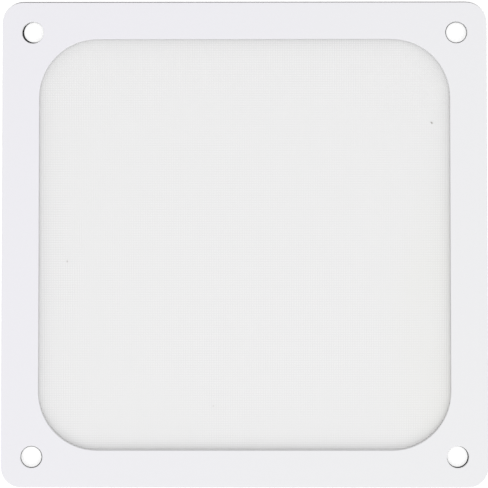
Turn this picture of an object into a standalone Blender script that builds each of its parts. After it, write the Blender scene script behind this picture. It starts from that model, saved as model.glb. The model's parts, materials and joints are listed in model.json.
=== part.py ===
"""Magnetic dust filter for a 120 mm fan: a flat laminate of a white front frame, die-cut tape,
a fine mesh panel and a black magnet frame.

Metres, +Z up. The filter lies on its magnet side, with its white front facing up, X to the
right and Y to the top edge. The origin is at the middle of the magnet's back face.
"""

import math

import bmesh
import bpy

# Outline that both frames share
FRAME_SIDE = 0.1200
FRAME_CORNER_RADIUS = 0.0050
BORDER_WIDTH = 0.0091
OPENING_CORNER_RADIUS = 0.0145

# Screw holes, one in each corner
HOLE_INSET = 0.0075
FRAME_HOLE_DIAMETER = 0.0054
BACKING_HOLE_DIAMETER = 0.0051
# Shift of each punched hole in the magnet frame against its twin in the front frame,
# which leaves a black crescent on one side of the hole
HOLE_REGISTER = {
    (-1, 1): (0.00018, 0.00028),
    (1, 1): (0.00012, 0.00019),
    (-1, -1): (-0.00014, -0.00002),
    (1, -1): (-0.00002, 0.00007),
}
# The magnet frame is laminated this much towards the top edge
BACKING_REGISTER_Y = 0.00035

# Thickness of each layer
BACKING_THICKNESS = 0.00070
MESH_THICKNESS = 0.00024
FILM_THICKNESS = 0.00010
FRAME_THICKNESS = 0.00120

# Clearances
LAYER_GAP = 0.00002
POCKET_CLEARANCE = 0.00030
TAPE_SETBACK = 0.00030

# Die-cut edges
FRAME_EDGE_ROUND = 0.00018
BACKING_EDGE_BREAK = 0.00006

# Mesh panel
BOND_MARGIN = 0.0030
WEAVE_MARGIN = 0.0006
RIDGE_PITCH = 0.0010
RIDGE_CREST = 0.00034
GROOVE_DEPTH = 0.00007
GROOVES_PER_LAND = 5
GAP_SIDE = 0.0030
GAP_SHOULDER = 0.00010

# Steps round each curve
OUTER_CORNER_STEPS = 8
OPENING_CORNER_STEPS = 16
HOLE_STEPS = 32
EDGE_ROUND_STEPS = 3
EDGE_BREAK_STEPS = 1
FLANK_STEPS = 2

# What the sizes above add up to
OPENING_SIDE = FRAME_SIDE - 2 * BORDER_WIDTH
HOLE_SPACING = FRAME_SIDE - 2 * HOLE_INSET
PANEL_SIDE = OPENING_SIDE + 2 * BOND_MARGIN
PANEL_CORNER_RADIUS = OPENING_CORNER_RADIUS + BOND_MARGIN
WEAVE_SIDE = OPENING_SIDE + 2 * WEAVE_MARGIN
WEAVE_CORNER_RADIUS = OPENING_CORNER_RADIUS + WEAVE_MARGIN

# Across the weave: a wide lane with the gaps in its flat floor, then a land of narrow grooves
GROOVE_WIDTH = RIDGE_PITCH - RIDGE_CREST
LANE_FLOOR = GAP_SIDE + 2 * GAP_SHOULDER
LANE_WIDTH = LANE_FLOOR + GROOVE_WIDTH
LANE_PITCH = LANE_WIDTH + GROOVES_PER_LAND * RIDGE_PITCH + RIDGE_CREST

BACKING_TOP = BACKING_THICKNESS
MESH_BOTTOM = BACKING_TOP + LAYER_GAP
MESH_TOP = MESH_BOTTOM + MESH_THICKNESS
TAPE_BOTTOM = BACKING_TOP + LAYER_GAP
FILM_BOTTOM = MESH_TOP + LAYER_GAP
FILM_TOP = FILM_BOTTOM + FILM_THICKNESS
FRAME_BOTTOM = FILM_TOP + LAYER_GAP
FRAME_TOP = FRAME_BOTTOM + FRAME_THICKNESS

CORNERS = tuple(HOLE_REGISTER)


def material(name, colour, roughness):
    """A plain surface of one colour."""
    surface = bpy.data.materials.new(name)
    surface.use_nodes = True
    shader = surface.node_tree.nodes["Principled BSDF"]
    shader.inputs["Base Color"].default_value = (*colour, 1.0)
    shader.inputs["Roughness"].default_value = roughness
    shader.inputs["Metallic"].default_value = 0.0
    surface.diffuse_color = (*colour, 1.0)
    return surface


def rounded_square(side, radius, steps, centre=(0.0, 0.0)):
    """Points round a square with arcs for corners, anticlockwise from its right side."""
    middle = side / 2 - radius
    points = []
    for corner, (sx, sy) in enumerate(((1, 1), (-1, 1), (-1, -1), (1, -1))):
        for step in range(steps + 1):
            angle = math.radians(90 * (corner + step / steps))
            x = centre[0] + sx * middle + radius * math.cos(angle)
            y = centre[1] + sy * middle + radius * math.sin(angle)
            points.append((x, y))
    return points


def circle(diameter, steps, centre):
    """Points round a hole, anticlockwise."""
    points = []
    for step in range(steps):
        angle = math.tau * step / steps
        x = centre[0] + diameter / 2 * math.cos(angle)
        y = centre[1] + diameter / 2 * math.sin(angle)
        points.append((x, y))
    return points


def add_wall(bm, rings):
    """Joins rings of points, each at its own height, into one wall. Returns its end edges."""
    loops = []
    for points, height in rings:
        loops.append([bm.verts.new((x, y, height)) for x, y in points])
    for low, high in zip(loops, loops[1:]):
        for i in range(len(low)):
            j = (i + 1) % len(low)
            bm.faces.new((low[i], low[j], high[j], high[i]))
    ends = []
    for loop in (loops[0], loops[-1]):
        ends.append([bm.edges.get((loop[i - 1], loop[i])) for i in range(len(loop))])
    return ends


def layer(name, walls, surface):
    """A flat layer: walls stand round its outline and its holes, and a face closes each side."""
    bm = bmesh.new()
    bottom = []
    top = []
    for rings in walls:
        low, high = add_wall(bm, rings)
        bottom += low
        top += high
    for edges in (bottom, top):
        bmesh.ops.triangle_fill(bm, edges=edges, use_beauty=True)
    bmesh.ops.recalc_face_normals(bm, faces=bm.faces)
    return finish(name, bm, surface)


def finish(name, bm, surface):
    """Turns a bmesh into a named object whose round walls are shaded smooth."""
    mesh = bpy.data.meshes.new(name)
    bm.to_mesh(mesh)
    bm.free()
    mesh.materials.append(surface)
    mesh.shade_smooth()
    mesh.set_sharp_from_angle(angle=math.radians(35))
    piece = bpy.data.objects.new(name, mesh)
    bpy.context.scene.collection.objects.link(piece)
    return piece


def hole_centre(corner, register=(0.0, 0.0)):
    """Where a corner's screw hole is."""
    x = corner[0] * HOLE_SPACING / 2 + register[0]
    y = corner[1] * HOLE_SPACING / 2 + register[1]
    return x, y


def edge_section(bottom, top, bottom_break, top_round, steps):
    """Section of a die-cut edge: (inset, height) from its broken lower edge to its rounded top."""
    section = [(bottom_break, bottom)]
    if bottom_break > 0:
        section.append((0.0, bottom + bottom_break))
    for step in range(steps + 1):
        angle = math.radians(90 * step / steps)
        inset = top_round * (1 - math.cos(angle))
        section.append((inset, top - top_round * (1 - math.sin(angle))))
    return section


def frame_walls(section, hole_diameter, hole_centres, centre=(0.0, 0.0)):
    """Walls of a frame's outline, opening and screw holes, all with one edge section."""
    outline = []
    opening = []
    for inset, height in section:
        side = FRAME_SIDE - 2 * inset
        points = rounded_square(side, FRAME_CORNER_RADIUS - inset, OUTER_CORNER_STEPS, centre)
        outline.append((points, height))
        side = OPENING_SIDE + 2 * inset
        radius = OPENING_CORNER_RADIUS + inset
        opening.append((rounded_square(side, radius, OPENING_CORNER_STEPS, centre), height))
    walls = [outline, opening]
    for hole in hole_centres:
        rings = []
        for inset, height in section:
            rings.append((circle(hole_diameter + 2 * inset, HOLE_STEPS, hole), height))
        walls.append(rings)
    return walls


def build_front_frame():
    """White die-cut sheet whose front edges are rounded over by the cut."""
    section = edge_section(FRAME_BOTTOM, FRAME_TOP, 0.0, FRAME_EDGE_ROUND, EDGE_ROUND_STEPS)
    holes = [hole_centre(corner) for corner in CORNERS]
    surface = material("white_vinyl", (0.855, 0.846, 0.886), 0.42)
    return layer("front_frame", frame_walls(section, FRAME_HOLE_DIAMETER, holes), surface)


def build_magnet_backing():
    """Black magnet sheet, cut by its own die and laminated slightly high."""
    edge_break = BACKING_EDGE_BREAK
    section = edge_section(0.0, BACKING_TOP, edge_break, edge_break, EDGE_BREAK_STEPS)
    holes = [hole_centre(corner, HOLE_REGISTER[corner]) for corner in CORNERS]
    surface = material("magnet_rubber", (0.022, 0.022, 0.024), 0.62)
    walls = frame_walls(section, BACKING_HOLE_DIAMETER, holes, (0.0, BACKING_REGISTER_Y))
    return layer("magnet_backing", walls, surface)


def build_bond_tape():
    """Double-sided tape: a film over the mesh panel's margin, and full thickness outside it."""
    heights = (TAPE_BOTTOM, FILM_TOP)
    side = FRAME_SIDE - 2 * TAPE_SETBACK
    radius = FRAME_CORNER_RADIUS - TAPE_SETBACK
    outline = [(rounded_square(side, radius, OUTER_CORNER_STEPS), z) for z in heights]
    pocket = rounded_square(
        PANEL_SIDE + 2 * POCKET_CLEARANCE,
        PANEL_CORNER_RADIUS + POCKET_CLEARANCE,
        OPENING_CORNER_STEPS,
    )
    window = rounded_square(
        OPENING_SIDE + 2 * TAPE_SETBACK,
        OPENING_CORNER_RADIUS + TAPE_SETBACK,
        OPENING_CORNER_STEPS,
    )
    inner = [
        (pocket, TAPE_BOTTOM),
        (pocket, FILM_BOTTOM),
        (window, FILM_BOTTOM),
        (window, FILM_TOP),
    ]
    walls = [outline, inner]
    for corner in CORNERS:
        diameter = FRAME_HOLE_DIAMETER + 2 * TAPE_SETBACK
        points = circle(diameter, HOLE_STEPS, hole_centre(corner))
        walls.append([(points, z) for z in heights])
    return layer("bond_tape", walls, material("clear_tape", (0.78, 0.77, 0.72), 0.35))


def cutter(name, bm):
    """A guide shape that cuts another piece and isn't part of the model."""
    bmesh.ops.recalc_face_normals(bm, faces=bm.faces)
    mesh = bpy.data.meshes.new(name)
    bm.to_mesh(mesh)
    bm.free()
    guide = bpy.data.objects.new(name, mesh)
    guide.hide_render = True
    guide.display_type = "WIRE"
    bpy.context.scene.collection.objects.link(guide)
    return guide


def half_length(offset):
    """Half the weave's length along a line this far from the middle, less at its corners."""
    half = WEAVE_SIDE / 2
    past = abs(offset) - (half - WEAVE_CORNER_RADIUS)
    if past <= 0:
        return half
    return half - WEAVE_CORNER_RADIUS + math.sqrt(WEAVE_CORNER_RADIUS**2 - past**2)


def lane_offsets():
    """Middles of the wide lanes, spread evenly about the panel's middle."""
    each_side = int((WEAVE_SIDE / 2 - LANE_WIDTH / 2) / LANE_PITCH)
    return [index * LANE_PITCH for index in range(-each_side, each_side + 1)]


def groove_offsets():
    """Middles of the narrow grooves between the lanes and outside the last ones."""
    lanes = lane_offsets()
    first = LANE_WIDTH / 2 + RIDGE_CREST + GROOVE_WIDTH / 2
    offsets = []
    for lane in [lanes[0] - LANE_PITCH] + lanes:
        for number in range(GROOVES_PER_LAND):
            offset = lane + first + number * RIDGE_PITCH
            if abs(offset) + GROOVE_WIDTH / 2 < WEAVE_SIDE / 2:
                offsets.append(offset)
    return offsets


def groove_section(floor):
    """Section of a groove: half a wave down each flank, with a flat floor between them."""
    flank = []
    for step in range(FLANK_STEPS + 1):
        share = step / FLANK_STEPS
        across = (floor + GROOVE_WIDTH * (1 - share)) / 2
        depth = GROOVE_DEPTH * (1 - math.cos(math.pi * share)) / 2
        flank.append((across, depth))
    mirrored = [(-across, depth) for across, depth in flank]
    if floor == 0:
        flank.pop()
    return mirrored + flank[::-1]


def add_bar(bm, offset, floor, face_height, into, along_y):
    """A long bar that cuts one groove or lane into a face of the panel."""
    width = floor + GROOVE_WIDTH
    reach = half_length(abs(offset) + width / 2)
    outside = [(width / 2, -MESH_THICKNESS), (-width / 2, -MESH_THICKNESS)]
    ends = []
    for end in (-reach, reach):
        ring = []
        for across, depth in groove_section(floor) + outside:
            height = face_height + into * depth
            if along_y:
                ring.append(bm.verts.new((offset + across, end, height)))
            else:
                ring.append(bm.verts.new((end, offset + across, height)))
        ends.append(ring)
    low, high = ends
    for i in range(len(low)):
        bm.faces.new((low[i - 1], low[i], high[i], high[i - 1]))
    bm.faces.new(low)
    bm.faces.new(high)


def groove_cutter(name, face_height, into, along_y):
    """Bars for all the grooves and lanes on one side of the panel."""
    bm = bmesh.new()
    for offset in groove_offsets():
        add_bar(bm, offset, 0.0, face_height, into, along_y)
    for offset in lane_offsets():
        add_bar(bm, offset, LANE_FLOOR, face_height, into, along_y)
    return cutter(name, bm)


def gap_cutter():
    """Square pegs where a front lane crosses a back lane, apart from the rounded corners."""
    bm = bmesh.new()
    reach = GAP_SIDE / 2 + GAP_SHOULDER
    for x in lane_offsets():
        for y in lane_offsets():
            if abs(y) + reach > half_length(abs(x) + reach):
                continue
            peg = bmesh.ops.create_cube(bm, size=1.0)["verts"]
            bmesh.ops.scale(bm, verts=peg, vec=(GAP_SIDE, GAP_SIDE, 3 * MESH_THICKNESS))
            centre = (x, y, (MESH_BOTTOM + MESH_TOP) / 2)
            bmesh.ops.translate(bm, verts=peg, vec=centre)
    return cutter("gap_guide", bm)


def build_filter_mesh():
    """Mesh panel: one wall with ridges along Y in front and along X behind, and open gaps.

    A ridge stands for two threads of the real weave, and the gaps together are as open as it
    is. The flat margin is where the tape holds the panel.
    """
    outline = rounded_square(PANEL_SIDE, PANEL_CORNER_RADIUS, OPENING_CORNER_STEPS)
    walls = [[(outline, MESH_BOTTOM), (outline, MESH_TOP)]]
    panel = layer("filter_mesh", walls, material("white_nylon", (0.84, 0.84, 0.83), 0.55))
    guides = (
        groove_cutter("front_groove_guide", MESH_TOP, -1, True),
        groove_cutter("back_groove_guide", MESH_BOTTOM, 1, False),
        gap_cutter(),
    )
    for guide in guides:
        cut = panel.modifiers.new(guide.name, "BOOLEAN")
        cut.operation = "DIFFERENCE"
        cut.solver = "EXACT"
        cut.object = guide
    return panel


def main():
    for old in list(bpy.data.objects):
        bpy.data.objects.remove(old, do_unlink=True)
    build_magnet_backing()
    build_filter_mesh()
    build_bond_tape()
    build_front_frame()


main()
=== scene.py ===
"""Looks of a magnetic dust filter for a 120 mm fan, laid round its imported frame.

The front frame, tape and magnet sheet are the frame's own pieces with their real finishes. The
mesh panel is woven here, thread over thread. Metres, +Z up, with the white front facing up.
"""

import json
import math

import bpy
from bpy.props import (
    BoolProperty,
    FloatProperty,
    FloatVectorProperty,
    IntProperty,
    PointerProperty,
)
from mathutils import Euler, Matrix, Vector

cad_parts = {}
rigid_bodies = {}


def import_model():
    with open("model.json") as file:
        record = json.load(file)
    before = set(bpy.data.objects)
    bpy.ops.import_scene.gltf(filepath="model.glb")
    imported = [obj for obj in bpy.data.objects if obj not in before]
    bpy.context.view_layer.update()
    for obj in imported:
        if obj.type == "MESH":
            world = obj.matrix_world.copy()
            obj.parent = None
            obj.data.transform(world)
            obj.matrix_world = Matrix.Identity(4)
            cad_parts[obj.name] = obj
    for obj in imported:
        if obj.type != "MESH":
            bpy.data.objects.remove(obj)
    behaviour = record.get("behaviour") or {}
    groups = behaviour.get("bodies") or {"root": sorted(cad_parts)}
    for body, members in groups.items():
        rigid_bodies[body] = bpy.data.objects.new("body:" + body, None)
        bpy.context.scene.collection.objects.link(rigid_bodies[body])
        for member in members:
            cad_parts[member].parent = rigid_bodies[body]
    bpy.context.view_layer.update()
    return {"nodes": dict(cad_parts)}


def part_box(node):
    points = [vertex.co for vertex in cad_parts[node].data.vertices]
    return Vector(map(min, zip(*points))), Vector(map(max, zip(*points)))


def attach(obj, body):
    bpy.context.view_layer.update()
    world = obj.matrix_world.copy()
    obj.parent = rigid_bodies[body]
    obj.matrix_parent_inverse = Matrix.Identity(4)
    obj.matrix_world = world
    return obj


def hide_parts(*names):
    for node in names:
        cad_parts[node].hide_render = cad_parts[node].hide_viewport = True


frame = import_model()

bl_info = {
    "name": "Fan Dust Filter",
    "version": (1, 0, 0),
    "blender": (4, 5, 0),
    "location": "View3D > Sidebar > Dust Filter",
    "description": "Weaves the mesh of a magnetic fan dust filter and finishes its layers",
    "category": "Add Mesh",
}

PANEL_LOW, PANEL_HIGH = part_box("filter_mesh")
FRONT_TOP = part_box("front_frame")[1].z
PANEL_SIDE = PANEL_HIGH.x - PANEL_LOW.x
PANEL_THICKNESS = PANEL_HIGH.z - PANEL_LOW.z
PANEL_MIDDLE = (PANEL_HIGH.z + PANEL_LOW.z) / 2
BODY = "root"

# The opening in the front frame
OPENING_HALF = 0.0509
OPENING_RADIUS = 0.0145

# How close to a cut a corner counts as on it, and how close together corners become one
CUT_TOLERANCE = 0.000001
MERGE_DISTANCE = 0.000002

# Edges that turn less than this are shaded smooth
THREAD_SMOOTHING = math.radians(45)
MARGIN_SMOOTHING = math.radians(30)

SENSOR_WIDTH_MM = 36.0


# Settings


class FrontFrameSettings(bpy.types.PropertyGroup):
    """Finish of the white die-cut sheet."""

    colour: FloatVectorProperty(
        name="Colour",
        description="Cool white of the printed side",
        subtype="COLOR",
        size=3,
        min=0.0,
        max=1.0,
        default=(0.860, 0.852, 0.893),
    )
    tint: FloatVectorProperty(
        name="Tint",
        description="Slightly warmer white that the sheet drifts to at its lower right",
        subtype="COLOR",
        size=3,
        min=0.0,
        max=1.0,
        default=(0.857, 0.857, 0.872),
    )
    cut_colour: FloatVectorProperty(
        name="Cut edge colour",
        description="White core that shows along the die-cut edges",
        subtype="COLOR",
        size=3,
        min=0.0,
        max=1.0,
        default=(0.78, 0.78, 0.79),
    )
    roughness: FloatProperty(
        name="Roughness",
        description="Roughness of the satin face",
        subtype="FACTOR",
        min=0.0,
        max=1.0,
        default=0.44,
    )
    grain_size: FloatProperty(
        name="Grain size",
        description="Width of one cell of the embossed grain",
        unit="LENGTH",
        default=0.00022,
    )
    grain_height: FloatProperty(
        name="Grain height",
        description="Height of the embossed grain",
        unit="LENGTH",
        default=0.000006,
    )


class MagnetSettings(bpy.types.PropertyGroup):
    """Finish of the black magnet sheet."""

    colour: FloatVectorProperty(
        name="Colour",
        description="Black of the filled rubber",
        subtype="COLOR",
        size=3,
        min=0.0,
        max=1.0,
        default=(0.012, 0.012, 0.013),
    )
    powder_colour: FloatVectorProperty(
        name="Powder colour",
        description="Grey of the ferrite powder on cut and rubbed places",
        subtype="COLOR",
        size=3,
        min=0.0,
        max=1.0,
        default=(0.048, 0.045, 0.044),
    )
    roughness: FloatProperty(
        name="Roughness",
        description="Roughness of the calendered face",
        subtype="FACTOR",
        min=0.0,
        max=1.0,
        default=0.60,
    )
    streak_width: FloatProperty(
        name="Streak width",
        description="Width of the faint streaks left by the calender's rolls",
        unit="LENGTH",
        default=0.0012,
    )


class TapeSettings(bpy.types.PropertyGroup):
    """Finish of the double-sided tape."""

    colour: FloatVectorProperty(
        name="Colour",
        description="Milky yellow-white of the tape's edge",
        subtype="COLOR",
        size=3,
        min=0.0,
        max=1.0,
        default=(0.78, 0.77, 0.72),
    )
    adhesive_colour: FloatVectorProperty(
        name="Adhesive colour",
        description="Darker places where dust has caught on the adhesive",
        subtype="COLOR",
        size=3,
        min=0.0,
        max=1.0,
        default=(0.60, 0.58, 0.52),
    )
    roughness: FloatProperty(
        name="Roughness",
        description="Roughness of the film",
        subtype="FACTOR",
        min=0.0,
        max=1.0,
        default=0.35,
    )


class MeshSettings(bpy.types.PropertyGroup):
    """Size and finish of the woven panel."""

    pitch: FloatProperty(
        name="Thread pitch",
        description="From the middle of one thread to the next",
        unit="LENGTH",
        default=0.00043,
    )
    thread_width: FloatProperty(
        name="Thread width",
        description="Width of a thread, which the weave's press has flattened",
        unit="LENGTH",
        default=0.00029,
    )
    thread_height: FloatProperty(
        name="Thread height",
        description="Height of a flattened thread",
        unit="LENGTH",
        default=0.00009,
    )
    bond_margin: FloatProperty(
        name="Bond margin",
        description="Width of the flat margin that the tape holds",
        unit="LENGTH",
        default=0.0024,
    )
    margin_radius: FloatProperty(
        name="Margin radius",
        description="Outer corner radius of the panel",
        unit="LENGTH",
        default=0.0175,
    )
    thread_overlap: FloatProperty(
        name="Thread overlap",
        description="How far each thread runs into the flat margin",
        unit="LENGTH",
        default=0.0002,
    )
    bands: IntProperty(
        name="Bands",
        description="Pieces that the threads of one direction are kept in",
        min=1,
        default=3,
    )
    colour: FloatVectorProperty(
        name="Colour",
        description="White of the nylon threads",
        subtype="COLOR",
        size=3,
        min=0.0,
        max=1.0,
        default=(0.918, 0.9165, 0.9175),
    )
    aged_colour: FloatVectorProperty(
        name="Aged colour",
        description="Faintly yellowed nylon near the right edge",
        subtype="COLOR",
        size=3,
        min=0.0,
        max=1.0,
        default=(0.916, 0.914, 0.888),
    )
    roughness: FloatProperty(
        name="Roughness",
        description="Roughness of a thread",
        subtype="FACTOR",
        min=0.0,
        max=1.0,
        default=0.50,
    )
    # Painted shade: the mesh's colour is darkened beside the opening's edge, where the frame's
    # step shades it
    painted_edge_shade: FloatProperty(
        name="Edge dimming",
        description="Share of light that the mesh loses right beside the black sheet under it",
        subtype="FACTOR",
        min=0.0,
        max=1.0,
        default=0.09,
    )
    edge_fade: FloatProperty(
        name="Edge fade",
        description="Distance over which that dimming fades to about a third",
        unit="LENGTH",
        default=0.0015,
    )
    # Painted shade: a fainter, wider darkening of the mesh's colour farther in from the opening's
    # edge
    painted_far_shade: FloatProperty(
        name="Far dimming",
        description="Share of light that the mesh loses farther in, over the dark cavity under it",
        subtype="FACTOR",
        min=0.0,
        max=1.0,
        default=0.016,
    )
    far_fade: FloatProperty(
        name="Far fade",
        description="Distance over which the far dimming fades to about a third",
        unit="LENGTH",
        default=0.0060,
    )


class LintSettings(bpy.types.PropertyGroup):
    """Flecks of dust that the mesh has caught."""

    colour: FloatVectorProperty(
        name="Colour",
        description="Grey of the dust",
        subtype="COLOR",
        size=3,
        min=0.0,
        max=1.0,
        default=(0.42, 0.41, 0.39),
    )
    size: FloatProperty(
        name="Size",
        description="Length of the largest fleck",
        unit="LENGTH",
        default=0.0006,
    )


class StageSettings(bpy.types.PropertyGroup):
    """Floor, lamps and camera."""

    distance: FloatProperty(
        name="Camera distance",
        description="From the lens to the filter's front",
        unit="LENGTH",
        default=0.60,
    )
    tilt: FloatVectorProperty(
        name="Camera turn",
        description="Turn about X, Y and Z from straight down",
        subtype="EULER",
        size=3,
        default=(math.radians(2.695), math.radians(0.398), 0.0),
    )
    aim: FloatVectorProperty(
        name="Camera aim",
        description="Point on the filter's front at the picture's middle",
        subtype="TRANSLATION",
        size=2,
        default=(-0.000120, -0.000040),
    )
    lens: FloatProperty(
        name="Focal length",
        description="In millimetres, for a 36 mm sensor",
        default=179.20,
    )
    right_watts: FloatProperty(
        name="Right lamp power",
        description="Power of the soft lamp at the picture's right",
        default=2.0,
    )
    lower_watts: FloatProperty(
        name="Lower lamp power",
        description="Power of the soft lamp below the picture",
        default=11.0,
    )
    lamp_size: FloatProperty(
        name="Lamp size",
        description="Side of each square lamp",
        unit="LENGTH",
        default=1.6,
    )
    lamp_reach: FloatProperty(
        name="Lamp distance",
        description="How far to the side each lamp stands",
        unit="LENGTH",
        default=1.7,
    )
    lamp_height: FloatProperty(
        name="Lamp height",
        description="Height of each lamp's middle over the floor",
        unit="LENGTH",
        default=1.4,
    )
    sky_strength: FloatProperty(
        name="Sky strength",
        description="Brightness of the white room round the filter",
        default=0.842,
    )
    floor_glow: FloatProperty(
        name="Floor glow",
        description="What the camera sees on the floor beyond its own colour",
        default=0.55,
    )
    keep_shadow: BoolProperty(
        name="Object's shadow",
        description="Whether the lamps cast the filter's shadow on the floor",
        default=True,
    )


# Bench work shared by the pieces


def put_down():
    """Leaves nothing selected, so that an operator works on the new piece alone."""
    for thing in bpy.context.view_layer.objects:
        thing.select_set(False)


def take_up(piece):
    """Selects one piece and makes it the active one."""
    put_down()
    piece.select_set(True)
    bpy.context.view_layer.objects.active = piece


def finish_piece(piece, name, surface):
    """Names a finished piece, gives it its surface and lets it ride with the filter."""
    piece.name = name
    piece.data.name = name
    piece.data.materials.clear()
    piece.data.materials.append(surface)
    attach(piece, BODY)


def paint_node(node_name, surface):
    """Gives one of the frame's own pieces its surface."""
    piece = frame["nodes"][node_name]
    piece.data.materials.clear()
    piece.data.materials.append(surface)


# Node building


def add_node(tree, kind, inputs=None, **options):
    """Adds a node, sets its options, and sets or links each input that is named."""
    node = tree.nodes.new(kind)
    for option, value in options.items():
        setattr(node, option, value)
    for key, value in (inputs or {}).items():
        if isinstance(value, bpy.types.NodeSocket):
            tree.links.new(value, node.inputs[key])
        else:
            node.inputs[key].default_value = value
    return node


def math_node(tree, operation, first, second=0.0, third=0.0):
    """One step of arithmetic. Returns its output."""
    inputs = {0: first, 1: second, 2: third}
    return add_node(tree, "ShaderNodeMath", inputs, operation=operation).outputs[0]


def ramp(tree, value, low, high, to_low=0.0, to_high=1.0):
    """Maps a range of values smoothly onto another. Returns its output."""
    inputs = {
        "Value": value,
        "From Min": low,
        "From Max": high,
        "To Min": to_low,
        "To Max": to_high,
    }
    options = {"interpolation_type": "SMOOTHSTEP"}
    return add_node(tree, "ShaderNodeMapRange", inputs, **options).outputs["Result"]


def blend_colours(tree, factor, first, second):
    """Mixes two colours. Returns the result."""
    node = add_node(tree, "ShaderNodeMix", {0: factor}, data_type="RGBA")
    for key, value in ((6, first), (7, second)):
        if isinstance(value, bpy.types.NodeSocket):
            tree.links.new(value, node.inputs[key])
        else:
            node.inputs[key].default_value = (*value, 1.0)
    return node.outputs[2]


def new_group(name, inputs, outputs):
    """Starts a shader node group of plain numbers. Returns it with its two end nodes."""
    group = bpy.data.node_groups.new(name, "ShaderNodeTree")
    for socket_name, value in inputs:
        socket = group.interface.new_socket(
            name=socket_name, in_out="INPUT", socket_type="NodeSocketFloat"
        )
        socket.default_value = value
    for socket_name in outputs:
        group.interface.new_socket(
            name=socket_name, in_out="OUTPUT", socket_type="NodeSocketFloat"
        )
    return group, group.nodes.new("NodeGroupInput"), group.nodes.new("NodeGroupOutput")


def use_group(tree, name, **values):
    """Places a shared effect in a material with its own values."""
    node = tree.nodes.new("ShaderNodeGroup")
    node.node_tree = bpy.data.node_groups[name]
    for socket_name, value in values.items():
        node.inputs[socket_name].default_value = value
    return node


def place_of(tree):
    """The piece's own coordinates, in metres."""
    return add_node(tree, "ShaderNodeTexCoord").outputs["Object"]


def stretched(tree, scale):
    """The piece's own coordinates, stretched along each axis."""
    inputs = {"Vector": place_of(tree), "Scale": scale}
    return add_node(tree, "ShaderNodeMapping", inputs).outputs["Vector"]


def build_grain_group():
    """Fine embossed grain: two sizes of bump, as a height from 0 to 1 and a mask of its tops."""
    group, start, end = new_group(
        "fine_grain", (("Cell Size", 0.0002), ("Coarse Share", 0.3)), ("Height", "Tops")
    )
    cells = math_node(group, "DIVIDE", 1.0, start.outputs["Cell Size"])
    inputs = {"Vector": place_of(group), "Scale": cells, "Detail": 3.0, "Roughness": 0.6}
    fine = add_node(group, "ShaderNodeTexNoise", inputs).outputs["Fac"]
    coarse_scale = math_node(group, "MULTIPLY", cells, 0.22)
    inputs = {"Vector": place_of(group), "Scale": coarse_scale, "Detail": 2.0}
    coarse = add_node(group, "ShaderNodeTexNoise", inputs).outputs["Fac"]
    mixed = add_node(
        group, "ShaderNodeMix", {0: start.outputs["Coarse Share"], 2: fine, 3: coarse}
    ).outputs[0]
    group.links.new(mixed, end.inputs["Height"])
    group.links.new(ramp(group, mixed, 0.48, 0.62), end.inputs["Tops"])


def build_cloud_group():
    """Soft mottle over the whole piece, from 0 to 1."""
    group, start, end = new_group("soft_clouds", (("Cloud Size", 0.003),), ("Mottle",))
    scale = math_node(group, "DIVIDE", 1.0, start.outputs["Cloud Size"])
    inputs = {"Vector": place_of(group), "Scale": scale, "Detail": 4.0}
    mottle = add_node(group, "ShaderNodeTexNoise", inputs).outputs["Fac"]
    group.links.new(ramp(group, mottle, 0.35, 0.65), end.inputs["Mottle"])


def build_drift_group():
    """Slow drift from one tone to another across the piece, with an uneven front."""
    group, start, end = new_group(
        "tone_drift",
        (("Across", 8.0), ("Up", 0.0), ("Start", 0.5), ("Patch Size", 0.04), ("Patchiness", 0.5)),
        ("Drift",),
    )
    place = add_node(group, "ShaderNodeSeparateXYZ", {0: place_of(group)})
    lean = math_node(
        group, "MULTIPLY_ADD", place.outputs["X"], start.outputs["Across"], start.outputs["Start"]
    )
    lean = math_node(group, "MULTIPLY_ADD", place.outputs["Y"], start.outputs["Up"], lean)
    scale = math_node(group, "DIVIDE", 1.0, start.outputs["Patch Size"])
    inputs = {"Vector": place_of(group), "Scale": scale, "Detail": 2.0, "Roughness": 0.45}
    patches = add_node(group, "ShaderNodeTexNoise", inputs).outputs["Fac"]
    uneven = math_node(group, "SUBTRACT", patches, 0.5)
    lean = math_node(group, "MULTIPLY_ADD", uneven, start.outputs["Patchiness"], lean)
    group.links.new(ramp(group, lean, 0.0, 1.0), end.inputs["Drift"])


def build_painted_shade_group():
    """Mask of painted shade that fades inwards from the edge of a rounded square opening, from 1
    to 0.
    """
    group, start, end = new_group(
        "painted_shade_mask", (("Half Side", 0.05), ("Corner Radius", 0.0145), ("Fade", 0.001)), ("Shade",)
    )
    radius = start.outputs["Corner Radius"]
    middle = math_node(group, "SUBTRACT", start.outputs["Half Side"], radius)
    place = add_node(group, "ShaderNodeSeparateXYZ", {0: place_of(group)})
    past = []
    for axis in ("X", "Y"):
        away = math_node(group, "ABSOLUTE", place.outputs[axis])
        past.append(math_node(group, "SUBTRACT", away, middle))
    inside = math_node(group, "MINIMUM", math_node(group, "MAXIMUM", *past), 0.0)
    squares = []
    for distance in past:
        outside = math_node(group, "MAXIMUM", distance, 0.0)
        squares.append(math_node(group, "MULTIPLY", outside, outside))
    round_part = math_node(group, "SQRT", math_node(group, "ADD", *squares))
    depth = math_node(group, "SUBTRACT", radius, math_node(group, "ADD", round_part, inside))
    depth = math_node(group, "MAXIMUM", depth, 0.0)
    share = math_node(group, "DIVIDE", depth, start.outputs["Fade"])
    shade = math_node(group, "EXPONENT", math_node(group, "MULTIPLY", share, -1.0))
    group.links.new(shade, end.inputs["Shade"])


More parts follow.
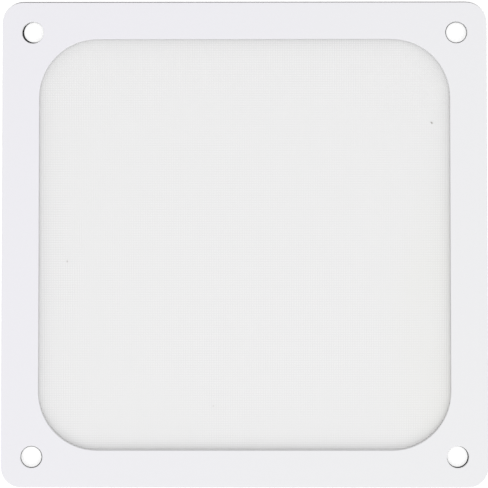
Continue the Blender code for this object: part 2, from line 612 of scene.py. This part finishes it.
def build_cut_edge_group():
    """Upright die-cut walls: a mask for them and the fine drag lines that the blade left."""
    group, start, end = new_group("cut_edge", (("Line Size", 0.0003),), ("Wall", "Drag"))
    facing = add_node(group, "ShaderNodeNewGeometry").outputs["Normal"]
    upward = add_node(group, "ShaderNodeSeparateXYZ", {0: facing}).outputs["Z"]
    level = math_node(group, "ABSOLUTE", upward)
    wall = math_node(group, "SUBTRACT", 1.0, ramp(group, level, 0.25, 0.85))
    lines = math_node(group, "DIVIDE", 1.0, start.outputs["Line Size"])
    inputs = {"Vector": stretched(group, (1.0, 1.0, 0.12)), "Scale": lines, "Detail": 3.0}
    drag = add_node(group, "ShaderNodeTexNoise", inputs).outputs["Fac"]
    group.links.new(wall, end.inputs["Wall"])
    group.links.new(ramp(group, drag, 0.35, 0.70), end.inputs["Drag"])


def build_scuff_group():
    """Hairline scratches that run in two directions, as a mask from 0 to 1."""
    group, start, end = new_group("hairline_scuffs", (("Spacing", 0.004),), ("Scuffs",))
    scale = math_node(group, "DIVIDE", 1.0, start.outputs["Spacing"])
    found = []
    for turn, long_axis in ((0.5, 0.05), (-0.9, 0.08)):
        inputs = {
            "Vector": place_of(group),
            "Rotation": (0.0, 0.0, turn),
            "Scale": (1.0, long_axis, 1.0),
        }
        turned = add_node(group, "ShaderNodeMapping", inputs).outputs["Vector"]
        inputs = {"Vector": turned, "Scale": scale}
        cells = add_node(group, "ShaderNodeTexVoronoi", inputs, feature="DISTANCE_TO_EDGE")
        line = ramp(group, cells.outputs["Distance"], 0.0, 0.012, 1.0, 0.0)
        inputs = {"Vector": place_of(group), "Scale": 60.0 + 20.0 * turn, "Detail": 1.0}
        worn = add_node(group, "ShaderNodeTexNoise", inputs).outputs["Fac"]
        found.append(math_node(group, "MULTIPLY", line, ramp(group, worn, 0.52, 0.66)))
    group.links.new(math_node(group, "MAXIMUM", *found), end.inputs["Scuffs"])


def build_shared_effects():
    """Builds each shared node group once."""
    for name, build in (
        ("fine_grain", build_grain_group),
        ("soft_clouds", build_cloud_group),
        ("tone_drift", build_drift_group),
        ("painted_shade_mask", build_painted_shade_group),
        ("cut_edge", build_cut_edge_group),
        ("hairline_scuffs", build_scuff_group),
    ):
        if name not in bpy.data.node_groups:
            build()


def new_surface(name, specular):
    """A material with an empty Principled shader. Returns it, its tree and the shader."""
    build_shared_effects()
    surface = bpy.data.materials.new(name)
    surface.use_nodes = True
    tree = surface.node_tree
    shader = tree.nodes["Principled BSDF"]
    shader.inputs["Metallic"].default_value = 0.0
    shader.inputs["Specular IOR Level"].default_value = specular
    return surface, tree, shader


def set_bump(tree, shader, height, distance):
    """Bumps a surface by a height from 0 to 1 over a real distance."""
    inputs = {"Height": height, "Distance": distance, "Strength": 1.0}
    bump = add_node(tree, "ShaderNodeBump", inputs)
    tree.links.new(bump.outputs["Normal"], shader.inputs["Normal"])


# Finishes


def white_vinyl(settings):
    """Satin white sheet: embossed grain, a drift of tone, hairlines, and a duller cut edge."""
    surface, tree, shader = new_surface("white_vinyl", 0.4)
    grain = use_group(tree, "fine_grain", **{"Cell Size": settings.grain_size})
    drift = use_group(
        tree, "tone_drift", **{"Across": 8.0, "Up": -4.0, "Patch Size": 0.045, "Patchiness": 0.5}
    )
    edge = use_group(tree, "cut_edge", **{"Line Size": 0.00025})
    scuffs = use_group(tree, "hairline_scuffs", **{"Spacing": 0.009})
    clouded = blend_colours(
        tree, drift.outputs["Drift"], tuple(settings.colour), tuple(settings.tint)
    )
    faint = math_node(tree, "MULTIPLY", edge.outputs["Drag"], 0.25)
    cut = blend_colours(tree, faint, tuple(settings.cut_colour), tuple(settings.colour))
    colour = blend_colours(tree, edge.outputs["Wall"], clouded, cut)
    tree.links.new(colour, shader.inputs["Base Color"])
    rough = ramp(
        tree, grain.outputs["Tops"], 0.0, 1.0, settings.roughness + 0.05, settings.roughness - 0.04
    )
    rough = math_node(tree, "MULTIPLY_ADD", edge.outputs["Wall"], 0.20, rough)
    rough = math_node(tree, "MULTIPLY_ADD", scuffs.outputs["Scuffs"], 0.12, rough)
    tree.links.new(rough, shader.inputs["Roughness"])
    dragged = math_node(tree, "MULTIPLY", edge.outputs["Wall"], edge.outputs["Drag"])
    height = math_node(tree, "MULTIPLY_ADD", dragged, 1.5, grain.outputs["Height"])
    height = math_node(tree, "MULTIPLY_ADD", scuffs.outputs["Scuffs"], -0.4, height)
    set_bump(tree, shader, height, distance=settings.grain_height)
    return surface


def magnet_rubber(settings):
    """Matt black filled rubber: powder grain, calender streaks and greyer cut walls."""
    surface, tree, shader = new_surface("magnet_rubber", 0.22)
    grain = use_group(tree, "fine_grain", **{"Cell Size": 0.00016, "Coarse Share": 0.45})
    edge = use_group(tree, "cut_edge", **{"Line Size": 0.0002})
    scuffs = use_group(tree, "hairline_scuffs", **{"Spacing": 0.006})
    inputs = {
        "Vector": stretched(tree, (1.0, 0.03, 1.0)),
        "Scale": 1.0 / settings.streak_width,
        "Detail": 3.0,
    }
    streaks = add_node(tree, "ShaderNodeTexNoise", inputs).outputs["Fac"]
    streaks = ramp(tree, streaks, 0.42, 0.66)
    powder = math_node(tree, "MULTIPLY", grain.outputs["Tops"], 0.35)
    powder = math_node(tree, "MULTIPLY_ADD", edge.outputs["Wall"], 0.30, powder)
    powder = math_node(tree, "MULTIPLY_ADD", scuffs.outputs["Scuffs"], 0.35, powder)
    powder = math_node(tree, "MULTIPLY_ADD", streaks, 0.12, powder)
    colour = blend_colours(
        tree, powder, tuple(settings.colour), tuple(settings.powder_colour)
    )
    tree.links.new(colour, shader.inputs["Base Color"])
    rough = math_node(tree, "MULTIPLY_ADD", streaks, -0.10, settings.roughness)
    rough = math_node(tree, "MULTIPLY_ADD", edge.outputs["Wall"], 0.18, rough)
    tree.links.new(rough, shader.inputs["Roughness"])
    height = math_node(tree, "MULTIPLY_ADD", streaks, 0.5, grain.outputs["Height"])
    set_bump(tree, shader, height, distance=0.000010)
    return surface


def clear_tape(settings):
    """Milky tape: a glossy film with specks of dust on the adhesive at its cut edge."""
    surface, tree, shader = new_surface("clear_tape", 0.5)
    grain = use_group(tree, "fine_grain", **{"Cell Size": 0.00035, "Coarse Share": 0.5})
    edge = use_group(tree, "cut_edge", **{"Line Size": 0.0004})
    dust = math_node(tree, "MULTIPLY", edge.outputs["Wall"], edge.outputs["Drag"])
    dust = math_node(tree, "MULTIPLY_ADD", grain.outputs["Tops"], 0.25, dust)
    colour = blend_colours(tree, dust, tuple(settings.colour), tuple(settings.adhesive_colour))
    tree.links.new(colour, shader.inputs["Base Color"])
    rough = math_node(tree, "MULTIPLY_ADD", dust, 0.25, settings.roughness)
    tree.links.new(rough, shader.inputs["Roughness"])
    set_bump(tree, shader, grain.outputs["Height"], distance=0.000008)
    return surface


def white_nylon(settings):
    """White monofilament: yellowed to one side, with painted shade darkening it towards the
    opening's edge.
    """
    surface, tree, shader = new_surface("white_nylon", 0.3)
    drift = use_group(
        tree,
        "tone_drift",
        **{"Across": 26.0, "Up": -4.0, "Start": -0.90, "Patch Size": 0.03, "Patchiness": 0.9}
    )
    grain = use_group(tree, "fine_grain", **{"Cell Size": 0.00005, "Coarse Share": 0.2})
    colour = blend_colours(
        tree, drift.outputs["Drift"], tuple(settings.colour), tuple(settings.aged_colour)
    )
    # Painted shade: the threads' colour is blended towards black near the opening's edge, where
    # the frame's step shades the mesh
    dimming = 0.0
    for fade, dim in (
        (settings.edge_fade, settings.painted_edge_shade),
        (settings.far_fade, settings.painted_far_shade),
    ):
        sizes = {"Half Side": OPENING_HALF, "Corner Radius": OPENING_RADIUS, "Fade": fade}
        beside = use_group(tree, "painted_shade_mask", **sizes)
        dimming = math_node(tree, "MULTIPLY_ADD", beside.outputs["Shade"], dim, dimming)
    colour = blend_colours(tree, dimming, colour, (0.0, 0.0, 0.0))
    tree.links.new(colour, shader.inputs["Base Color"])
    rough = ramp(
        tree, grain.outputs["Tops"], 0.0, 1.0, settings.roughness + 0.06, settings.roughness - 0.06
    )
    tree.links.new(rough, shader.inputs["Roughness"])
    set_bump(tree, shader, grain.outputs["Height"], distance=0.000002)
    return surface


def lint_grey(settings):
    """Felted grey dust."""
    surface, tree, shader = new_surface("lint_grey", 0.1)
    grain = use_group(tree, "fine_grain", **{"Cell Size": 0.00004, "Coarse Share": 0.3})
    pale = tuple(min(1.0, part * 1.5) for part in settings.colour)
    colour = blend_colours(tree, grain.outputs["Tops"], tuple(settings.colour), pale)
    tree.links.new(colour, shader.inputs["Base Color"])
    shader.inputs["Roughness"].default_value = 0.9
    set_bump(tree, shader, grain.outputs["Height"], distance=0.000010)
    return surface


def floor_white(settings):
    """White sweep: the camera sees it lifted to white, and it still takes the filter's shadow."""
    surface, tree, shader = new_surface("floor_white", 0.0)
    clouds = use_group(tree, "soft_clouds", **{"Cloud Size": 0.4 / 9})
    colour = blend_colours(tree, clouds.outputs["Mottle"], (0.80, 0.80, 0.80), (0.81, 0.81, 0.81))
    tree.links.new(colour, shader.inputs["Base Color"])
    shader.inputs["Roughness"].default_value = 1.0
    ray = add_node(tree, "ShaderNodeLightPath")
    seen = math_node(
        tree, "MAXIMUM", ray.outputs["Is Camera Ray"], ray.outputs["Is Transmission Ray"]
    )
    seen = math_node(tree, "MAXIMUM", seen, ray.outputs["Is Glossy Ray"])
    shader.inputs["Emission Color"].default_value = (1.0, 1.0, 1.0, 1.0)
    glow = math_node(tree, "MULTIPLY", seen, settings.floor_glow)
    tree.links.new(glow, shader.inputs["Emission Strength"])
    return surface


# The woven panel


def weave_side(settings):
    """Side of the woven field inside the flat margin."""
    return PANEL_SIDE - 2 * settings.bond_margin


def reach_of(settings, offset):
    """Half the length of a thread this far from the panel's middle, shorter at its corners."""
    half = weave_side(settings) / 2 + settings.thread_overlap
    radius = settings.margin_radius - settings.bond_margin + settings.thread_overlap
    past = abs(offset) - (half - radius)
    if past <= 0:
        return half
    return half - radius + math.sqrt(radius**2 - past**2)


def cut_thread(thread, along, reach):
    """Cuts a thread to this reach on each side of its middle, closed and facing outwards."""
    take_up(thread)
    bpy.ops.object.mode_set(mode="EDIT")
    for side in (-1, 1):
        bpy.ops.mesh.select_all(action="SELECT")
        bpy.ops.mesh.bisect(
            plane_co=along * side * reach,
            plane_no=along * side,
            use_fill=True,
            clear_outer=True,
            threshold=CUT_TOLERANCE,
        )
    bpy.ops.mesh.select_all(action="SELECT")
    bpy.ops.mesh.remove_doubles(threshold=MERGE_DISTANCE)
    bpy.ops.mesh.normals_make_consistent(inside=False)
    bpy.ops.object.mode_set(mode="OBJECT")


def spin_thread(settings, along, starts_up):
    """One full thread: its flattened section drawn out through one wave, repeated and cut."""
    half_count = math.ceil(reach_of(settings, 0.0) / settings.pitch) + 1
    crest = (PANEL_THICKNESS - settings.thread_height) / 2
    rise = crest if starts_up else -crest
    turn = (math.radians(90), 0.0, 0.0) if along.y else (0.0, math.radians(90), 0.0)
    start = -along * half_count * settings.pitch + Vector((0.0, 0.0, PANEL_MIDDLE + rise))
    put_down()
    bpy.ops.mesh.primitive_plane_add(size=settings.thread_width, location=start, rotation=turn)
    thread = bpy.context.object
    bpy.ops.object.transform_apply(location=True, rotation=True, scale=True)
    bpy.ops.object.mode_set(mode="EDIT")
    bpy.ops.mesh.select_all(action="SELECT")
    flatness = settings.thread_height / settings.thread_width
    bpy.ops.transform.resize(value=(1.0, 1.0, flatness), center_override=start)
    bpy.ops.mesh.delete(type="ONLY_FACE")
    bpy.ops.mesh.select_all(action="SELECT")
    for fall in (-2 * rise, 2 * rise):
        step = along * settings.pitch + Vector((0.0, 0.0, fall))
        bpy.ops.mesh.extrude_region_move(TRANSFORM_OT_translate={"value": step})
    bpy.ops.object.mode_set(mode="OBJECT")
    repeat = thread.modifiers.new("repeat", "ARRAY")
    repeat.count = half_count
    repeat.use_relative_offset = False
    repeat.use_constant_offset = True
    repeat.constant_offset_displace = along * 2 * settings.pitch
    repeat.use_merge_vertices = True
    repeat.merge_threshold = settings.pitch / 1000
    bpy.ops.object.modifier_apply(modifier=repeat.name)
    cut_thread(thread, along, reach_of(settings, 0.0))
    return thread


def copy_thread(master, across, offset):
    """A copy of a thread with its own mesh, laid this far from the middle."""
    take_up(master)
    bpy.ops.object.duplicate()
    bpy.ops.transform.translate(value=across * offset)
    bpy.ops.object.transform_apply(location=True, rotation=False, scale=False)
    return bpy.context.object


def weave_direction(settings, along, names, crosses_above):
    """All threads of one direction, in one piece for each band."""
    across = Vector((along.y, along.x, 0.0))
    widest = weave_side(settings) / 2 + settings.thread_overlap - settings.thread_width / 2
    last = int(widest / settings.pitch)
    half_count = math.ceil(reach_of(settings, 0.0) / settings.pitch) + 1
    masters = {up: spin_thread(settings, along, up) for up in (True, False)}
    full = reach_of(settings, 0.0)
    numbers = list(range(-last, last + 1))
    pieces = []
    for band, name in enumerate(names):
        first = len(numbers) * band // len(names)
        stop = len(numbers) * (band + 1) // len(names)
        threads = []
        area = 0.0
        for number in numbers[first:stop]:
            starts_up = (number + half_count + crosses_above) % 2 == 0
            offset = number * settings.pitch
            reach = reach_of(settings, offset)
            thread = copy_thread(masters[starts_up], across, offset)
            if full - reach > CUT_TOLERANCE:
                cut_thread(thread, along, reach)
            threads.append(thread)
            area += 2 * reach * settings.pitch
        put_down()
        for thread in threads:
            thread.select_set(True)
        bpy.context.view_layer.objects.active = threads[0]
        bpy.ops.object.join()
        bpy.ops.object.shade_smooth_by_angle(angle=THREAD_SMOOTHING)
        piece = bpy.context.object
        piece.name = name
        width = len(threads) * settings.pitch
        pieces.append((piece, (width, 2 * full), area))
    for master in masters.values():
        take_up(master)
        bpy.ops.object.delete()
    return pieces


class FILTER_OT_weave(bpy.types.Operator):
    """Weaves the mesh panel's threads, over and under, and keeps them in bands"""

    bl_idname = "dust_filter.weave"
    bl_label = "Weave Mesh"
    bl_options = {"REGISTER", "UNDO"}

    def execute(self, context):
        settings = context.scene.filter_mesh_settings
        margin = bpy.data.objects.get("mesh_margin")
        if margin is None:
            raise RuntimeError("press the margin before the threads are woven")
        surface = margin.data.materials[0]
        warp_names = [f"warp_band_{band + 1}" for band in range(settings.bands)]
        weft_names = [f"weft_band_{band + 1}" for band in range(settings.bands)]
        warp = weave_direction(settings, Vector((0.0, 1.0, 0.0)), warp_names, 0)
        weft = weave_direction(settings, Vector((1.0, 0.0, 0.0)), weft_names, 1)
        for number, (piece, flat, area) in enumerate(warp + weft):
            finish_piece(piece, piece.name, surface)
            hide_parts("filter_mesh")
        return {"FINISHED"}


class FILTER_OT_margin(bpy.types.Operator):
    """Presses the flat margin of the mesh panel, which the tape holds"""

    bl_idname = "dust_filter.margin"
    bl_label = "Press Margin"
    bl_options = {"REGISTER", "UNDO"}

    CORNER_SEGMENTS = 16

    def execute(self, context):
        settings = context.scene.filter_mesh_settings
        put_down()
        bpy.ops.mesh.primitive_plane_add(
            size=PANEL_SIDE, location=(0.0, 0.0, PANEL_LOW.z)
        )
        margin = context.object
        bpy.ops.object.transform_apply(location=True, rotation=True, scale=True)
        bpy.ops.object.mode_set(mode="EDIT")
        bpy.ops.mesh.select_all(action="SELECT")
        bpy.ops.mesh.bevel(
            offset=settings.margin_radius,
            segments=self.CORNER_SEGMENTS,
            affect="VERTICES",
            profile=0.5,
        )
        bpy.ops.mesh.select_all(action="SELECT")
        bpy.ops.mesh.inset(thickness=settings.bond_margin)
        bpy.ops.mesh.delete(type="FACE")
        bpy.ops.mesh.select_all(action="SELECT")
        bpy.ops.mesh.extrude_region_move(
            TRANSFORM_OT_translate={"value": (0.0, 0.0, PANEL_THICKNESS)}
        )
        bpy.ops.mesh.select_all(action="SELECT")
        bpy.ops.mesh.normals_make_consistent(inside=False)
        bpy.ops.object.mode_set(mode="OBJECT")
        bpy.ops.object.shade_smooth_by_angle(angle=MARGIN_SMOOTHING)
        finish_piece(margin, "mesh_margin", white_nylon(settings))
        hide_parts("filter_mesh")
        return {"FINISHED"}


class FILTER_OT_front_frame(bpy.types.Operator):
    """Gives the front frame its satin white sheet"""

    bl_idname = "dust_filter.front_frame"
    bl_label = "Finish Front Frame"
    bl_options = {"REGISTER", "UNDO"}

    def execute(self, context):
        paint_node("front_frame", white_vinyl(context.scene.filter_front_settings))
        return {"FINISHED"}


class FILTER_OT_magnet(bpy.types.Operator):
    """Gives the magnet frame its matt black rubber"""

    bl_idname = "dust_filter.magnet"
    bl_label = "Finish Magnet Sheet"
    bl_options = {"REGISTER", "UNDO"}

    def execute(self, context):
        paint_node("magnet_backing", magnet_rubber(context.scene.filter_magnet_settings))
        return {"FINISHED"}


class FILTER_OT_tape(bpy.types.Operator):
    """Gives the bond tape its milky film"""

    bl_idname = "dust_filter.tape"
    bl_label = "Finish Bond Tape"
    bl_options = {"REGISTER", "UNDO"}

    def execute(self, context):
        paint_node("bond_tape", clear_tape(context.scene.filter_tape_settings))
        return {"FINISHED"}


class FILTER_OT_lint(bpy.types.Operator):
    """Sets the few flecks of dust that the mesh has caught"""

    bl_idname = "dust_filter.lint"
    bl_label = "Scatter Lint"
    bl_options = {"REGISTER", "UNDO"}

    # Place of each fleck on the mesh, its size as a share of the largest, and its turn
    FLECKS = (
        ("lint_right", (0.0464, 0.0301), 1.0, 0.6),
        ("lint_left", (-0.0439, -0.0043), 0.8, 1.9),
        ("lint_lower", (-0.0077, -0.0400), 0.6, 2.7),
    )

    # A fleck's width and height beside a ball's, how far its middle stands over the threads,
    # and how coarse and deep its felted surface is, both as shares of its length
    FLATTENED = (1.0, 0.55, 0.22)
    LIFT_SHARE = 0.1
    FELTING_SHARE = 1 / 3

    def execute(self, context):
        settings = context.scene.filter_lint_settings
        surface = lint_grey(settings)
        for name, place, share, turn in self.FLECKS:
            length = settings.size * share
            centre = Vector((*place, PANEL_HIGH.z + length * self.LIFT_SHARE))
            put_down()
            bpy.ops.mesh.primitive_ico_sphere_add(
                subdivisions=3, radius=length / 2, location=centre
            )
            fleck = context.object
            bpy.ops.object.transform_apply(location=True, rotation=True, scale=True)
            bpy.ops.object.mode_set(mode="EDIT")
            bpy.ops.mesh.select_all(action="SELECT")
            bpy.ops.transform.resize(value=self.FLATTENED, center_override=centre)
            bpy.ops.transform.rotate(value=turn, orient_axis="Z", center_override=centre)
            bpy.ops.object.mode_set(mode="OBJECT")
            felt = bpy.data.textures.new(name, "CLOUDS")
            felt.noise_scale = length * self.FELTING_SHARE
            rough = fleck.modifiers.new("felt", "DISPLACE")
            rough.texture = felt
            rough.texture_coords = "LOCAL"
            rough.strength = length * self.FELTING_SHARE
            rough.mid_level = 0.5
            bpy.ops.object.modifier_apply(modifier=rough.name)
            bpy.ops.object.shade_smooth()
            finish_piece(fleck, name, surface)
        return {"FINISHED"}


class FILTER_OT_stage(bpy.types.Operator):
    """Lays the white floor and sets the soft lamps and the camera"""

    bl_idname = "dust_filter.stage"
    bl_label = "Set Stage"
    bl_options = {"REGISTER", "UNDO"}

    FLOOR_SIDE = 6.0

    def execute(self, context):
        settings = context.scene.filter_stage_settings
        put_down()
        bpy.ops.mesh.primitive_plane_add(size=self.FLOOR_SIDE)
        floor = context.object
        floor.name = "floor"
        floor.data.materials.append(floor_white(settings))
        self.light_sky(context, settings)
        for name, direction, watts in (
            ("right_lamp", (1.0, 0.0), settings.right_watts),
            ("lower_lamp", (0.0, -1.0), settings.lower_watts),
        ):
            self.add_lamp(context, settings, name, direction, watts)
        self.add_camera(context, settings)
        context.scene.view_settings.view_transform = "Standard"
        return {"FINISHED"}

    def light_sky(self, context, settings):
        """White room: even light on the filter, and plain white to the camera."""
        world = bpy.data.worlds.new("white_room")
        context.scene.world = world
        world.use_nodes = True
        tree = world.node_tree
        ray = add_node(tree, "ShaderNodeLightPath")
        seen = math_node(
            tree, "MAXIMUM", ray.outputs["Is Camera Ray"], ray.outputs["Is Transmission Ray"]
        )
        seen = math_node(tree, "MAXIMUM", seen, ray.outputs["Is Glossy Ray"])
        strength = ramp(tree, seen, 0.0, 1.0, settings.sky_strength, 1.0)
        background = tree.nodes["Background"]
        background.inputs["Color"].default_value = (1.0, 1.0, 1.0, 1.0)
        tree.links.new(strength, background.inputs["Strength"])

    def add_lamp(self, context, settings, name, direction, watts):
        """Large soft lamp that stands low at one side and faces the filter."""
        lamp = bpy.data.lights.new(name, "AREA")
        lamp.shape = "SQUARE"
        lamp.size = settings.lamp_size
        lamp.energy = watts
        lamp.use_shadow = settings.keep_shadow
        stand = bpy.data.objects.new(name, lamp)
        across, up = direction
        reach = settings.lamp_reach
        stand.location = (across * reach, up * reach, settings.lamp_height)
        stand.rotation_euler = stand.location.to_track_quat("Z", "Y").to_euler()
        context.scene.collection.objects.link(stand)

    def add_camera(self, context, settings):
        """Camera over the filter, a little below its middle."""
        lens = bpy.data.cameras.new("camera")
        lens.sensor_width = SENSOR_WIDTH_MM
        lens.lens = settings.lens
        lens.clip_start = 0.01
        lens.clip_end = 20.0
        camera = bpy.data.objects.new("camera", lens)
        turn = Euler(settings.tilt, "XYZ")
        back = Vector((0.0, 0.0, settings.distance))
        back.rotate(turn)
        camera.location = Vector((*settings.aim, FRONT_TOP)) + back
        camera.rotation_euler = turn
        context.scene.collection.objects.link(camera)
        context.scene.camera = camera


class VIEW3D_PT_dust_filter(bpy.types.Panel):
    """Steps that finish the filter, in their order"""

    bl_label = "Fan Dust Filter"
    bl_idname = "VIEW3D_PT_dust_filter"
    bl_space_type = "VIEW_3D"
    bl_region_type = "UI"
    bl_category = "Dust Filter"

    def draw(self, context):
        layout = self.layout
        for operator, settings_name in STEPS:
            box = layout.box()
            box.operator(operator.bl_idname)
            settings = getattr(context.scene, settings_name)
            for name in settings.__annotations__:
                box.prop(settings, name)


# Each step with the settings that it reads, in the order in which main runs them
STEPS = (
    (FILTER_OT_front_frame, "filter_front_settings"),
    (FILTER_OT_magnet, "filter_magnet_settings"),
    (FILTER_OT_tape, "filter_tape_settings"),
    (FILTER_OT_margin, "filter_mesh_settings"),
    (FILTER_OT_weave, "filter_mesh_settings"),
    (FILTER_OT_lint, "filter_lint_settings"),
    (FILTER_OT_stage, "filter_stage_settings"),
)

SETTINGS = {
    "filter_front_settings": FrontFrameSettings,
    "filter_magnet_settings": MagnetSettings,
    "filter_tape_settings": TapeSettings,
    "filter_mesh_settings": MeshSettings,
    "filter_lint_settings": LintSettings,
    "filter_stage_settings": StageSettings,
}


def register():
    for name, group in SETTINGS.items():
        bpy.utils.register_class(group)
        setattr(bpy.types.Scene, name, PointerProperty(type=group))
    for operator, _ in STEPS:
        bpy.utils.register_class(operator)
    bpy.utils.register_class(VIEW3D_PT_dust_filter)


def unregister():
    bpy.utils.unregister_class(VIEW3D_PT_dust_filter)
    for operator, _ in reversed(STEPS):
        bpy.utils.unregister_class(operator)
    for name, group in SETTINGS.items():
        delattr(bpy.types.Scene, name)
        bpy.utils.unregister_class(group)


def main():
    register()
    for operator, _ in STEPS:
        group_name, step_name = operator.bl_idname.split(".")
        getattr(getattr(bpy.ops, group_name), step_name)()


if __name__ == "__main__":
    main()
